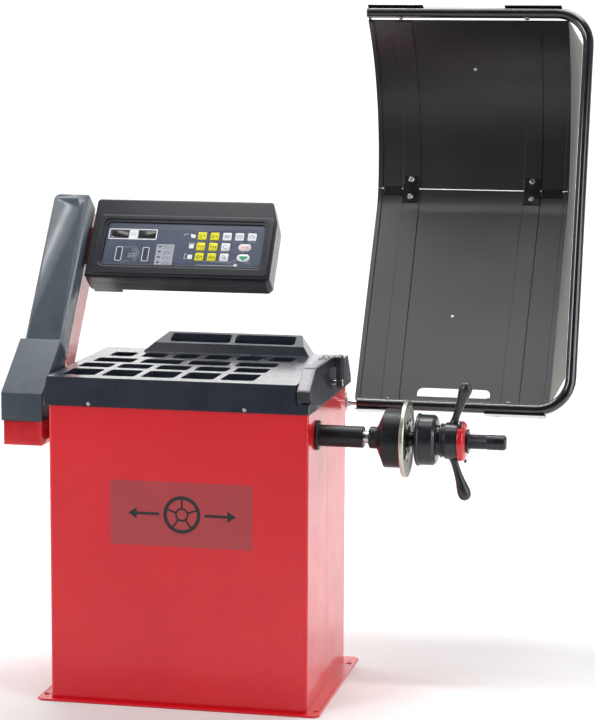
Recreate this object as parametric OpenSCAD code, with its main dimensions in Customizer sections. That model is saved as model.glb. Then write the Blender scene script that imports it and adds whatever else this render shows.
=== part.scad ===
// Wheel balancer with a pressed-steel cabinet, a weight tray, a tilted control
// console on a side arm, a threaded spindle with a quick nut, and a swing-over
// wheel hood. X runs along the spindle, Y runs to the back, Z is up. The origin
// lies on the floor, in the middle of the four anchor holes.

/* [Cabinet] */
// Width of the cabinet, side to side
cab_w = 640; // [620:5:660]
// Depth of the cabinet, front to back
cab_d = 480; // [470:5:490]
// Height of the top edge of the cabinet's covers
cab_h = 738; // [734:1:740]
// Thickness of the covers' sheet steel
sheet = 2; // [1.5:0.5:3]
// Outer bend radius of the covers' upright corners
cab_bend = 9; // [6:1:12]
// Depth at which the front cover meets the rear cover
seam_y = 2; // [0:1:6]
// Thickness of the base plate
base_t = 5; // [4:1:8]
// How far the base plate stands out at each side
base_side = 32; // [30:1:44]
// How far the base plate stands out at the back
base_back = 45; // [40:1:50]
// Diameter of the four anchor holes
anchor_d = 14; // [12:1:16]

/* [Weight tray] */
// Height of the tray's top face
tray_top = 800; // [798:1:802]
// Height of the tray's lower edge
tray_low = 731; // [729:1:733]
// Wall thickness of the moulded tray
tray_wall = 3; // [2.5:0.5:3.5]
// Depth of the weight pockets
pocket_deep = 26; // [20:1:28]

/* [Spindle] */
// Height of the spindle's axis
spin_z = 665; // [660:1:668]
// Distance of the spindle's axis in front of the cabinet's middle
spin_front = 137; // [130:1:140]
// Diameter of the threaded shaft that carries the wheel
shaft_d = 36; // [36:1:36]
// Distance of the shaft's tip from the cabinet's middle
shaft_tip = 777; // [770:1:800]
// Pitch of the shaft's thread grooves
thread_pitch = 4; // [3:1:5]
// Diameter of the wheel flange disc
disc_d = 184; // [176:2:190]
// Diameter of the hub behind the disc
hub_d = 140; // [134:1:142]
// Diameter of the quick nut's pressure cup
cup_d = 121; // [116:1:124]
// Length of the nut's handles, from the axis to the middle of the knob
handle_r = 134; // [125:1:140]

/* [Console] */
// Width of the console
con_w = 480; // [470:5:480]
// Height of the console's face, along the slope
con_h = 232; // [228:1:236]
// Thickness of the console
con_t = 66; // [62:1:70]
// How far the console leans back from upright
con_tilt = 36; // [34:1:38]
// Width of a square key
key_w = 22; // [20:1:23]
// Height of a square key
key_h = 22; // [20:1:23]

/* [Arm] */
// How far the arm leans back from upright
arm_tilt = 36.7; // [36:0.1:38]
// Width of the arm's black cover
arm_w = 96; // [92:1:98]
// Depth of the steel arm, square to its slope
arm_deep = 132; // [124:1:136]
// Clear distance between the arm and the middle of the cabinet
arm_x = 345; // [343:1:348]

/* [Hood] */
// Diameter of the hood's steel tube
tube_d = 28; // [26:1:30]
// How far the open hood leans back from upright
hood_lean = 19.5; // [18:0.5:21]
// Distance between the hood's lower and upper bars
hood_len = 1050; // [1040:5:1060]
// Distance of the hood's outer tube from the cabinet's middle
hood_right = 887; // [880:1:895]
// Outer bend radius of the hood's tube, at its centre line
hood_bend = 85; // [80:1:90]
// Thickness of the hood's plastic shells
shell_t = 4; // [3:0.5:5]

/* [Hidden] */
$fn = 48;

RED = "#b3121d";
BLACK = "#26282c";
SLATE = "#2b333d";
STEEL = "#b9bcc0";
DARK_STEEL = "#4a4d52";
eps = 0.01;
gap = 0.3;
run_gap = 0.05;

cab_x = cab_w / 2;
cab_y = cab_d / 2;
spin_y = -spin_front;
shaft_r = shaft_d / 2;

// Stations along the spindle, as distances from the cabinet's middle
housing_x0 = 70;
nose_x0 = cab_x - 4;
nose_x1 = 435;
neck_x = 449;
hub_back = 469;
hub_cone = 488;
hub_face = 533;
disc_face = 544;
cup_lip = 564;
cup_shoulder = 605;
cup_end = 620;
nut_step = 633;
nut_face = 662.6;
ring_x0 = 663;
ring_x1 = 682;
spindle_r = 15;
bearing_r = 23.5;
bearing_w = 9;

// ---------------------------------------------------------------- helpers

// A bar along X between two stations, on the axis (y, z)
module x_cyl(x0, x1, r, y = spin_y, z = spin_z) {
    translate([x0, y, z])
        rotate([0, 90, 0])
            cylinder(h = x1 - x0, r = r);
}

// A turned piece about the spindle's axis, from [radius, station] points
module turned(points, y = spin_y, z = spin_z) {
    translate([0, y, z])
        rotate([0, 90, 0])
            rotate_extrude($fn = 96)
                polygon(points);
}

// A prism along X whose section is a list of [y, z] points
module yz_prism(x0, x1, points) {
    translate([x0, 0, 0])
        rotate([90, 0, 90])
            linear_extrude(x1 - x0)
                polygon(points);
}

// A prism along Y whose section is a list of [x, z] points
module xz_prism(y0, y1, points) {
    translate([0, y1, 0])
        rotate([90, 0, 0])
            linear_extrude(y1 - y0)
                polygon(points);
}

// A rectangle with true round corners, its lower left corner at the origin
module round_rect(w, h, r) {
    translate([r, 0])
        square([w - 2 * r, h]);
    translate([0, r])
        square([w, h - 2 * r]);
    for (x = [r, w - r], y = [r, h - r])
        translate([x, y])
            circle(r = r);
}

module round_block(size, r) {
    linear_extrude(size[2])
        round_rect(size[0], size[1], r);
}

// A pan-head screw along +Z, the underside of its head at the origin
module screw(d, length) {
    translate([0, 0, -length])
        cylinder(h = length, d = d);
    cylinder(h = d * 0.3, d = d * 1.9);
    translate([0, 0, d * 0.3])
        cylinder(h = d * 0.25, d1 = d * 1.9, d2 = d * 1.1);
}

// A hexagon bolt along +Z, the underside of its head at the origin
module bolt(d, length) {
    translate([0, 0, -length])
        cylinder(h = length, d = d);
    cylinder(h = d * 0.6, d = d * 1.8, $fn = 6);
}

// ---------------------------------------------------------------- cabinet

anchor_x = cab_x + base_side / 2 + 2;
anchor_y = 218;
base_front = 20;
base_corner = 12;

module base_outline() {
    x = cab_x + base_side;
    y0 = -cab_y - base_front;
    y1 = cab_y + base_back;
    c = base_corner;
    polygon([[-x + c, y0], [x - c, y0], [x, y0 + c], [x, y1 - c],
        [x - c, y1], [-x + c, y1], [-x, y1 - c], [-x, y0 + c]]);
}

module base_plate() {
    color(RED)
        difference() {
            linear_extrude(base_t)
                base_outline();
            for (x = [-anchor_x, anchor_x], y = [-anchor_y, anchor_y])
                translate([x, y, -1])
                    cylinder(h = base_t + 2, d = anchor_d);
        }
}

// The sheet of the cabinet's four walls as one closed ring
module wall_ring(inset = 0, t = sheet) {
    w = cab_w - 2 * inset;
    d = cab_d - 2 * inset;
    r = cab_bend - inset;
    difference() {
        translate([-w / 2, -d / 2])
            round_rect(w, d, r);
        translate([-w / 2 + t, -d / 2 + t])
            round_rect(w - 2 * t, d - 2 * t, max(r - t, 1));
    }
}

seam_gap = 0.8;
nose_hole_r = 33;

module front_cover() {
    color(RED)
        difference() {
            translate([0, 0, base_t])
                linear_extrude(cab_h - base_t)
                    difference() {
                        wall_ring();
                        translate([-cab_x - 1, seam_y - seam_gap])
                            square([cab_w + 2, cab_d]);
                    }
            x_cyl(cab_x - 10, cab_x + 10, nose_hole_r);
        }
}

vent_w = 90;
vent_h = 6;
vent_count = 9;
inlet_x = -230;
inlet_z = 330;
inlet_w = 70;
inlet_h = 90;
lap_w = 22;

module rear_cover() {
    color(RED)
        difference() {
            translate([0, 0, base_t])
                linear_extrude(cab_h - base_t) {
                    difference() {
                        wall_ring();
                        translate([-cab_x - 1, -cab_d + seam_y])
                            square([cab_w + 2, cab_d]);
                    }
                    // joggled laps that lie behind the front cover's edges
                    for (side = [-1, 1]) {
                        translate([side * (cab_x - 1.7 * sheet) - sheet / 2,
                            seam_y - lap_w])
                            square([sheet, lap_w + 8]);
                        translate([side * (cab_x - sheet) - sheet,
                            seam_y + 4])
                            square([2 * sheet, 4]);
                    }
                }
            for (side = [-1, 1], k = [0 : vent_count - 1])
                translate([side * 150 - vent_w / 2, cab_y - sheet - 1,
                    150 + k * 16])
                    cube([vent_w, sheet + 2, vent_h]);
            translate([inlet_x - inlet_w / 2 + 6, cab_y - sheet - 1,
                inlet_z - inlet_h / 2 + 6])
                cube([inlet_w - 12, sheet + 2, inlet_h - 12]);
        }
}

tray_screw_z = 738;
tray_screw_x = 192;
cover_screw_z = [60, 370, 635];

module panel_screws() {
    color(STEEL) {
        // tray to cabinet, front and back
        for (x = [-tray_screw_x, tray_screw_x])
            translate([x - 25, -cab_y - tray_flare - 0.1, tray_screw_z])
                rotate([90, 0, 0])
                    screw(5, tray_flare - 0.2);
        // rear cover to the base and frame
        for (x = [-290, 290], z = cover_screw_z)
            translate([x, cab_y + gap / 3, z])
                rotate([-90, 0, 0])
                    screw(6, 0.1);
        // arm cover to the arm, on its outer side
        for (z = [120, 330])
            arm_place()
                translate([-arm_x - arm_w - 0.1, 40, z])
                    rotate([0, -90, 0])
                        screw(5, 0.1);
    }
}

// ------------------------------------------------------------------- tray

tray_flare = 5;
tray_left = 9;
tray_draft = 9;
tray_back = 292;
tray_corner = 10;
notch_x = 289;
notch_floor = 755;
pocket_r = 11;
rod_y = 70;
rod_z = 762;
rod_r = 6;

// Solid shape of the tray's skirt and top, drawn in by a wall thickness
module tray_block(inset) {
    x_low = cab_x + tray_flare - inset;
    x_top = x_low - tray_draft;
    x_left = x_low + tray_left;
    y_low = cab_y + tray_flare - inset;
    b_low = tray_back - inset;
    z0 = tray_low - (inset > 0 ? 1 : 0);
    z1 = tray_top - inset;
    intersection() {
        translate([-x_left, -y_low, z0])
            round_block([x_left + x_low, y_low + b_low, z1 - z0],
                tray_corner);
        xz_prism(-400, 400, [[-x_left, z0], [x_low, z0], [x_top, z1],
            [tray_draft - x_left, z1]]);
        yz_prism(-400, 400, [[-y_low, z0], [b_low, z0],
            [b_low - tray_draft, z1], [-y_low + tray_draft, z1]]);
    }
}

// The four rows of pockets, as [first x, pitch, width, count, y0, y1]
pocket_rows = [[-300, 98.5, 82, 5, -196, -94], [-300, 98.5, 82, 5, -66, 4],
    [-290, 122, 103, 4, 28, 96], [-277, 83, 62, 6, 130, 202]];

module pocket_cells(grow, z0, z1) {
    for (row = pocket_rows, k = [0 : row[3] - 1])
        translate([row[0] + k * row[1] - grow, row[4] - grow, z0])
            round_block([row[2] + 2 * grow, row[5] - row[4] + 2 * grow,
                z1 - z0], pocket_r + grow);
}

// The raised block at the back with its two long pockets
block_y0 = 222;
block_y1 = 289;
block_z = 847;
block_lift = 24;
block_x = [-155, 195];
block_flare = 34;

module rear_block(inset) {
    z0 = tray_top - tray_wall - 1;
    y0 = block_y0 + inset;
    y1 = block_y1 - inset;
    z1 = tray_top + block_lift - inset;
    z2 = block_z - inset;
    x0 = block_x[0] + inset;
    x1 = block_x[1] - inset;
    intersection() {
        yz_prism(-400, 400, [[y0, z0], [y0 + 3, tray_top], [y0 + 10, z1],
            [y1 - 5, z2], [y1, z0]]);
        xz_prism(200, 320, [[x0 - 1.8 * block_flare, z0], [x0, z2 + 1],
            [x1, z2 + 1], [x1 + block_flare, z0]]);
    }
}

block_pocket_w = 158;
block_pocket_gap = 12;
block_pocket_y = 239;
block_pocket_d = 38;

module block_pockets(grow, z0) {
    middle = (block_x[0] + block_x[1]) / 2;
    for (side = [-1, 1])
        translate([middle + side * (block_pocket_w + block_pocket_gap) / 2
            - block_pocket_w / 2 - grow, block_pocket_y - grow, z0])
            round_block([block_pocket_w + 2 * grow,
                block_pocket_d + 2 * grow, 80], 8 + grow);
}

// Section of the cut-away corner in which the gauge arm rests
notch_section = [[-300, notch_floor], [-212, notch_floor],
    [-166, tray_top], [-166, tray_top + 30], [-300, tray_top + 30]];

module tray() {
    w = tray_wall;
    color(SLATE)
        difference() {
            union() {
                difference() {
                    tray_block(0);
                    tray_block(w);
                    yz_prism(notch_x, 400, notch_section);
                }
                // walls of the notch
                intersection() {
                    tray_block(0);
                    difference() {
                        yz_prism(notch_x - w, 400, [[-300, notch_floor - w],
                            [-211, notch_floor - w], [-163, tray_top],
                            [-300, tray_top]]);
                        yz_prism(notch_x, 401, notch_section);
                    }
                }
                // pocket cups
                pocket_cells(2.5, tray_top - pocket_deep - w, tray_top - 1);
                // rear block
                difference() {
                    rear_block(0);
                    rear_block(w);
                }
                intersection() {
                    rear_block(0.5);
                    block_pockets(2.5, tray_top - 6);
                }
                translate([0, 0, -10])
                    intersection() {
                        block_pockets(2.5, tray_top - 6);
                        translate([-400, 200, tray_top - 10])
                            cube([800, 100, 20]);
                    }
            }
            pocket_cells(0, tray_top - pocket_deep, tray_top + 1);
            block_pockets(0, tray_top - 13);
            x_cyl(300, 340, rod_r + 2, rod_y, rod_z);
            for (x = [-tray_screw_x, tray_screw_x])
                translate([x - 25, -cab_y, tray_screw_z])
                    rotate([90, 0, 0])
                        cylinder(h = 10, d = 5.4);
        }
}

// ---------------------------------------------------------- spindle inside

web_y = 50;
web_t = 8;
post_x0 = 100;
post_x1 = 296;
shelf_z = 350;
seat_z = 598;
seat_t = 12;
sensor_h = 10;
foot_z = seat_z + seat_t + sensor_h;

module inner_frame() {
    color(DARK_STEEL) {
        for (side = [-1, 1])
            translate([post_x0, spin_y + side * web_y - web_t / 2, base_t])
                cube([post_x1 - post_x0, web_t, seat_z - base_t]);
        translate([post_x0, spin_y - web_y - 14, seat_z])
            cube([post_x1 - post_x0, 2 * web_y + 28, seat_t]);
        // cross webs between the two uprights
        for (z = [120, 320, 520])
            translate([post_x0, spin_y - web_y + web_t / 2, z])
                cube([post_x1 - post_x0, 2 * web_y - web_t, web_t]);
        // shelf for the motor, with its gusset
        translate([post_x0, spin_y + web_y + web_t / 2, shelf_z])
            cube([post_x1 - post_x0, 230, web_t]);
        yz_prism(post_x0, post_x0 + web_t,
            [[spin_y + web_y + web_t / 2, shelf_z],
            [spin_y + web_y + web_t / 2, 160],
            [spin_y + web_y + 220, shelf_z]]);
    }
}

sensor_x = [130, 262];

module piezo_sensors() {
    color(STEEL)
        for (x = sensor_x)
            translate([x, spin_y, seat_z + seat_t])
                cylinder(h = sensor_h, r = 16);
}

module spindle_housing() {
    color(BLACK)
        difference() {
            union() {
                turned([[0, housing_x0], [38, housing_x0], [40, housing_x0 + 2],
                    [40, nose_x0 - 20], [26, nose_x0 - 6], [26, cab_x + 0.5],
                    [36, cab_x + 0.5], [36, cab_x + 6], [33, cab_x + 9],
                    [26, cab_x + 9], [26, nose_x1 - 2], [24.5, nose_x1],
                    [0, nose_x1]]);
                translate([sensor_x[0] - 22, spin_y - 48, foot_z])
                    cube([sensor_x[1] - sensor_x[0] + 44, 96, 16]);
                translate([sensor_x[0] - 22, spin_y - 14, foot_z])
                    cube([sensor_x[1] - sensor_x[0] + 44, 28, 20]);
            }
            x_cyl(housing_x0 - 1, nose_x1 + 1, 18);
            x_cyl(nose_x1 - 12, nose_x1 + 1, bearing_r);
            x_cyl(housing_x0 - 1, housing_x0 + 12, bearing_r);
        }
}

bearing_x = [72, nose_x1 - 11.5];

module spindle_bearings() {
    color(STEEL)
        for (x = bearing_x) {
            difference() {
                x_cyl(x, x + bearing_w, bearing_r - run_gap);
                x_cyl(x - 1, x + bearing_w + 1, 21.4);
            }
            difference() {
                x_cyl(x, x + bearing_w, 17.6);
                x_cyl(x - 1, x + bearing_w + 1, spindle_r + run_gap);
            }
            for (k = [0 : 11])
                translate([x + bearing_w / 2, spin_y, spin_z])
                    rotate([k * 30, 0, 0])
                        translate([0, 0, 19.5])
                            sphere(r = 1.85, $fn = 24);
        }
}

spindle_x0 = 20;
root_x = 487;

module main_spindle() {
    color(STEEL)
        turned([[0, spindle_x0], [13, spindle_x0], [spindle_r, spindle_x0 + 2],
            [spindle_r, root_x - 1], [0, root_x - 1]]);
}

thread_x0 = 553;
thread_x1 = 734;
thread_depth = 1.2;
thread_count = floor((thread_x1 - thread_x0) / thread_pitch);

// The shaft's outline, with one groove per turn of the thread
function thread_points() = [for (k = [0 : thread_count - 1],
    p = [[0, 0], [thread_depth, 0.3], [thread_depth, 0.55], [0, 0.85]])
    [shaft_r - p[0], thread_x0 + (k + p[1]) * thread_pitch]];

module threaded_shaft() {
    color(DARK_STEEL)
        turned(concat([[0, root_x], [30, root_x], [30, root_x + 8],
            [shaft_r, root_x + 8]], thread_points(),
            [[shaft_r, shaft_tip - 5], [shaft_r - 4, shaft_tip],
            [0, shaft_tip]]));
}

module hub() {
    color(BLACK)
        turned([[spindle_r + run_gap, neck_x], [24, neck_x],
            [26.5, neck_x + 3], [26.5, hub_back], [28.5, hub_back],
            [hub_d / 2, hub_cone], [hub_d / 2, hub_face],
            [34, hub_face], [34, root_x + 9], [30 + gap, root_x + 9],
            [30 + gap, root_x - 0.5], [spindle_r + run_gap, root_x - 0.5]]);
}

disc_hole_pcd = 104;
disc_hole_r = 6;
disc_bore_r = 32;

module flange_disc() {
    color(STEEL)
        difference() {
            turned([[disc_bore_r, hub_face], [disc_d / 2 - 2, hub_face],
                [disc_d / 2, hub_face + 2], [disc_d / 2, disc_face - 2],
                [disc_d / 2 - 2, disc_face], [80, disc_face],
                [76, disc_face - 2.5], [46, disc_face - 2.5],
                [42, disc_face], [disc_bore_r, disc_face]]);
            for (k = [0 : 3])
                disc_hole(k * 90, disc_hole_r);
            for (k = [0 : 3])
                disc_hole(45 + k * 90, 4.2);
        }
}

module disc_hole(angle, r) {
    translate([0, spin_y, spin_z])
        rotate([angle, 0, 0])
            translate([hub_face - 1, 0, disc_hole_pcd / 2])
                rotate([0, 90, 0])
                    cylinder(h = 20, r = r);
}

module flange_screws() {
    color(DARK_STEEL)
        for (k = [0 : 3])
            translate([0, spin_y, spin_z])
                rotate([45 + k * 90, 0, 0])
                    translate([hub_face + 0.2, 0, disc_hole_pcd / 2])
                        rotate([0, 90, 0]) {
                            cylinder(h = 8.5, r = 4);
                            translate([0, 0, 8.4])
                                cylinder(h = 2.2, r = 7);
                        }
}

// Taper spring that pushes a wheel's cone outwards, as a swept wire
spring_turns = 4;
spring_steps = 20;
spring_sides = 6;
spring_wire = 1.8;
function spring_radius(t) = 29 - 6 * t;
function spring_x(t) = root_x + 12 + 38 * t;
function spring_point(i, j) =
    let (t = i / (spring_turns * spring_steps), a = i * 360 / spring_steps,
        b = j * 360 / spring_sides, r = spring_radius(t) + spring_wire * cos(b))
    [spring_x(t) + spring_wire * sin(b), spin_y + r * cos(a),
        spin_z + r * sin(a)];

module centring_spring() {
    n = spring_turns * spring_steps;
    m = spring_sides;
    points = [for (i = [0 : n], j = [0 : m - 1]) spring_point(i, j)];
    walls = [for (i = [0 : n - 1], j = [0 : m - 1])
        [i * m + j, i * m + (j + 1) % m, (i + 1) * m + (j + 1) % m,
            (i + 1) * m + j]];
    color(STEEL)
        polyhedron(points, concat(walls, [[for (j = [0 : m - 1]) m - 1 - j]],
            [[for (j = [0 : m - 1]) n * m + j]]), convexity = 10);
}

pulley_x0 = 38;
pulley_x1 = 58;
big_pulley_r = 75;
small_pulley_r = 20;
motor_y = 58;
motor_z = shelf_z + web_t + 76;

module shaft_pulley() {
    color(DARK_STEEL)
        turned([[spindle_r + run_gap, pulley_x0], [big_pulley_r + 2, pulley_x0],
            [big_pulley_r + 2, pulley_x0 + 2], [big_pulley_r, pulley_x0 + 2],
            [big_pulley_r, pulley_x1 - 2], [big_pulley_r + 2, pulley_x1 - 2],
            [big_pulley_r + 2, pulley_x1], [spindle_r + run_gap, pulley_x1]]);
}

module encoder_disc() {
    color(STEEL)
        difference() {
            x_cyl(26, 28, 36);
            x_cyl(25, 29, spindle_r + run_gap);
            for (k = [0 : 15])
                translate([25, spin_y, spin_z])
                    rotate([k * 22.5, 0, 0])
                        translate([0, -1.5, 26])
                            cube([4, 3, 8]);
        }
}

module encoder_sensor() {
    color(BLACK) {
        // forked sensor head astride the disc's rim
        difference() {
            translate([17, spin_y - 9, spin_z + 24])
                cube([20, 18, 24]);
            translate([24, spin_y - 10, spin_z + 23])
                cube([6, 20, 16]);
        }
        // its bracket, reaching over the pulley to the housing
        translate([17, spin_y - 9, spin_z + 48])
            cube([20, 18, 36]);
        translate([17, spin_y - 9, spin_z + 84])
            cube([93, 18, 4]);
        translate([102, spin_y - 9, spin_z + 40])
            cube([8, 18, 44]);
    }
}

module motor() {
    color(DARK_STEEL) {
        difference() {
            union() {
                x_cyl(84, 236, 68, motor_y, motor_z);
                for (k = [0 : 23])
                    translate([100, motor_y, motor_z])
                        rotate([k * 15, 0, 0])
                            translate([0, -1.5, 60])
                                cube([110, 3, 13]);
            }
            x_cyl(83, 96, 8, motor_y, motor_z);
        }
        for (side = [-1, 1])
            translate([110, motor_y + side * 50 - 14, shelf_z + web_t])
                cube([90, 28, 30]);
        translate([130, motor_y - 36, motor_z + 58])
            cube([70, 72, 36]);
    }
}

module motor_pulley() {
    color(STEEL)
        turned([[0, 36], [7, 36], [7, pulley_x0], [small_pulley_r + 2, pulley_x0],
            [small_pulley_r + 2, pulley_x0 + 2], [small_pulley_r, pulley_x0 + 2],
            [small_pulley_r, pulley_x1 - 2], [small_pulley_r + 2, pulley_x1 - 2],
            [small_pulley_r + 2, pulley_x1], [7.9, pulley_x1], [7.9, 95],
            [0, 95]], motor_y, motor_z);
}

module belt_loop(grow) {
    hull() {
        translate([spin_y, spin_z])
            circle(r = big_pulley_r + grow, $fn = 72);
        translate([motor_y, motor_z])
            circle(r = small_pulley_r + grow, $fn = 48);
    }
}

module drive_belt() {
    color(BLACK)
        translate([pulley_x0 + 3.5, 0, 0])
            rotate([90, 0, 90])
                linear_extrude(pulley_x1 - pulley_x0 - 7)
                    difference() {
                        belt_loop(3.2);
                        belt_loop(0.4);
                    }
}

module power_board() {
    y = cab_y - sheet - 6;
    color("#1d5a34")
        translate([-280, y - 2, 430])
            cube([200, 2, 140]);
    color(BLACK) {
        for (x = [-274, -92], z = [436, 558])
            translate([x, y, z])
                cube([6, 6, 6]);
        translate([-268, y - 52, 450])
            cube([64, 50, 70]);
        for (k = [0 : 2])
            translate([-180 + k * 30, y - 2, 500])
                rotate([90, 0, 0])
                    cylinder(h = 38, r = 12);
        for (k = [0 : 4])
            translate([-186 + k * 18, y - 16, 442])
                cube([14, 14, 18]);
    }
}

module power_inlet() {
    color(BLACK)
        difference() {
            union() {
                translate([inlet_x - inlet_w / 2, cab_y + 0.1,
                    inlet_z - inlet_h / 2])
                    cube([inlet_w, 3, inlet_h]);
                translate([inlet_x - 26, cab_y - 30, inlet_z - 36])
                    cube([52, 30.2, 72]);
            }
            // socket mouth with room for a plug, and the switch's seat
            translate([inlet_x - 14, cab_y - 18, inlet_z - 30])
                cube([28, 30, 22]);
            translate([inlet_x - 15, cab_y - 16, inlet_z + 8])
                cube([30, 30, 24]);
        }
    color(STEEL)
        for (x = [-7, 0, 7])
            translate([inlet_x + x - 1, cab_y - 18, inlet_z - 22])
                cube([2, 14, 5]);
}

switch_z = inlet_z + 20;
switch_y = cab_y - 2;

// Rocker with a dished face, its upper half standing out
module power_switch() {
    color(BLACK)
        translate([0, switch_y, switch_z])
            yz_prism(inlet_x - 13.5, inlet_x + 13.5, [[-6, -8], [3.5, -10.4],
                [4.4, 0], [7.5, 10.2], [-6, 8]]);
}

// -------------------------------------------------------------- quick nut

nut_bore = shaft_r + 0.08;

module pressure_cup() {
    r = cup_d / 2;
    color(BLACK)
        turned([[nut_bore, cup_shoulder - 4], [r - 8, cup_shoulder - 4],
            [r - 8, cup_lip + 1], [r - 7, cup_lip], [r - 1, cup_lip],
            [r + 2.5, cup_lip + 2], [r + 2.5, cup_lip + 7], [r, cup_lip + 9],
            [r, cup_shoulder], [r - 6.5, cup_shoulder + 7],
            [36, cup_shoulder + 8], [36, cup_end], [nut_bore, cup_end]]);
}

module nut_body() {
    color(BLACK)
        turned([[nut_bore, cup_end + gap], [40, cup_end + gap],
            [41, cup_end + 2], [41, cup_end + 5], [38, cup_end + 6],
            [38, cup_end + 8], [41, cup_end + 9], [41, nut_step - 1],
            [44, nut_step + 1], [44, nut_face], [27, nut_face],
            [27, ring_x1 + 3.6], [29.6, ring_x1 + 3.6], [29.6, ring_x1 + 5.5],
            [28.6, ring_x1 + 6.5], [nut_bore, ring_x1 + 6.5]]);
}

handle_splay = 18.3;
handle_x = 637;
// Half outline of a handle, as [radius, distance from the axis]
handle_shape = [[0, 43.2], [10.5, 43.2], [9, 52], [8.6, 66], [9.2, 80],
    [11, 98], [13.5, 112], [15.6, 124], [16, 132], [14.6, 140], [10.5, 146],
    [5, 149], [0, 149.6]];
handle_scale = handle_r / 134;

module nut_handles() {
    color(BLACK)
        for (side = [0, 180])
            translate([handle_x, spin_y, spin_z])
                rotate([side, 0, 0])
                    difference() {
                        rotate([0, handle_splay, 0])
                            rotate_extrude($fn = 48)
                                polygon([for (p = handle_shape)
                                    [p[0], p[1] * handle_scale]]);
                        rotate([0, 90, 0])
                            cylinder(h = 60, r = 44.2, center = true);
                        // the stem stays clear of the release ring
                        translate([ring_x0 - handle_x - 1, -30, 0])
                            cube([40, 60, 49.5]);
                    }
}

module release_ring() {
    color("#d9202a")
        turned([[27.2, ring_x0], [46, ring_x0], [47.5, ring_x0 + 2],
            [47.5, ring_x0 + 9], [46, ring_x0 + 14], [41, ring_x1 - 2],
            [37, ring_x1], [27.2, ring_x1]]);
}

// Thumb lever on top of the ring, and the small catch opposite to it
module release_lever() {
    color(BLACK)
        translate([0, spin_y, spin_z]) {
            rotate([30, 0, 0])
                translate([0, 8, 0])
                    rotate([90, 0, 0])
                        linear_extrude(16)
                            polygon([[ring_x0 + 0.4, 47.7],
                                [ring_x0 + 11, 47.7], [ring_x0 + 12, 50],
                                [ring_x0 + 6, 57.5], [ring_x0 + 2.5, 57.5],
                                [ring_x0 + 0.4, 53]]);
            translate([0, 4, 0])
                rotate([90, 0, 0])
                    linear_extrude(8)
                        polygon([[ring_x1 - 5, -46.5], [ring_x1 - 1.4, -42],
                            [ring_x1 + 1, -44], [ring_x1 + 1, -50],
                            [ring_x1 - 3, -52], [ring_x1 - 5, -50]]);
        }
}

// -------------------------------------------------------------------- arm

arm_y = -60;
arm_z = 841.7;
arm_len = 451;
cover_deep = 58;
cover_t = 3;
column_inset = 4;
wide_extra = 8;
foot_y = -210;
foot_low = 683;
knee_z = 751;
hip = [-58, 864];
bracket_low = 623;

module arm_place() {
    translate([0, arm_y, arm_z])
        rotate([-arm_tilt, 0, 0])
            children();
}

module bracket_box(inset) {
    translate([-arm_x - arm_w - wide_extra + 5 + inset,
        foot_y + cover_t + 0.3 + inset, bracket_low - (inset > 0 ? 1 : 0)])
        cube([arm_w + wide_extra - 8 - 2 * inset, 175 - 2 * inset,
            knee_z - bracket_low - 12 + (inset > 0 ? 1 - inset : 0)]);
}

module column_box(inset) {
    arm_place()
        translate([-arm_x - arm_w + cover_t + 0.5 + inset,
            column_inset + inset, -20 + inset])
            cube([arm_w - 2 * cover_t - 1 - 2 * inset, arm_deep - 2 * inset,
                arm_len + 20 - 12 - 2 * inset]);
}

module column_root(inset) {
    x0 = -arm_x - arm_w + cover_t + 0.5 + inset;
    x1 = -arm_x - cover_t - 0.5 - inset;
    k = inset;
    yz_prism(x0, x1, [[foot_y + 20 + k, bracket_low + 80 + k],
        [foot_y + 20 + k, knee_z - 18 - k], [-63 + k, knee_z + 92 - k],
        [45 - k, 760 + k], [foot_y + 177 - k, bracket_low + 80 + k]]);
}

module arm_column() {
    plate = 3;
    color(RED) {
        difference() {
            union() {
                bracket_box(0);
                column_root(0);
                column_box(0);
            }
            bracket_box(plate);
            column_root(plate);
            column_box(plate);
        }
        // spacer box that carries the arm on the cabinet's side
        translate([-arm_x - 3.1, foot_y + 60, bracket_low + 10])
            cube([arm_x + 3.1 - cab_x, 100, 46]);
        // plate that reaches into the console
        console_place()
            translate([-arm_x - cover_t - 2 - con_x, 62, -con_t + 16])
                cube([122, 110, 4]);
    }
    // hexagon bolt on the bracket's outer side
    color(DARK_STEEL)
        translate([-arm_x - arm_w - wide_extra + 4.9, foot_y + 26,
            bracket_low + 30])
            rotate([0, -90, 0])
                bolt(8, 0.1);
}

// Front outline of the arm's cover, with round upper corners
function arm_outline(x0, x1, i) = concat([[x0 + i, -i], [x1 - i, -i]],
    [for (a = [0 : 15 : 90]) [x1 - 9 + (9 - i) * cos(a),
        arm_len - 9 + (9 - i) * sin(a)]],
    [for (a = [90 : 15 : 180]) [x0 + 16 + (16 - i) * cos(a),
        arm_len - 16 + (16 - i) * sin(a)]]);

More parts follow.
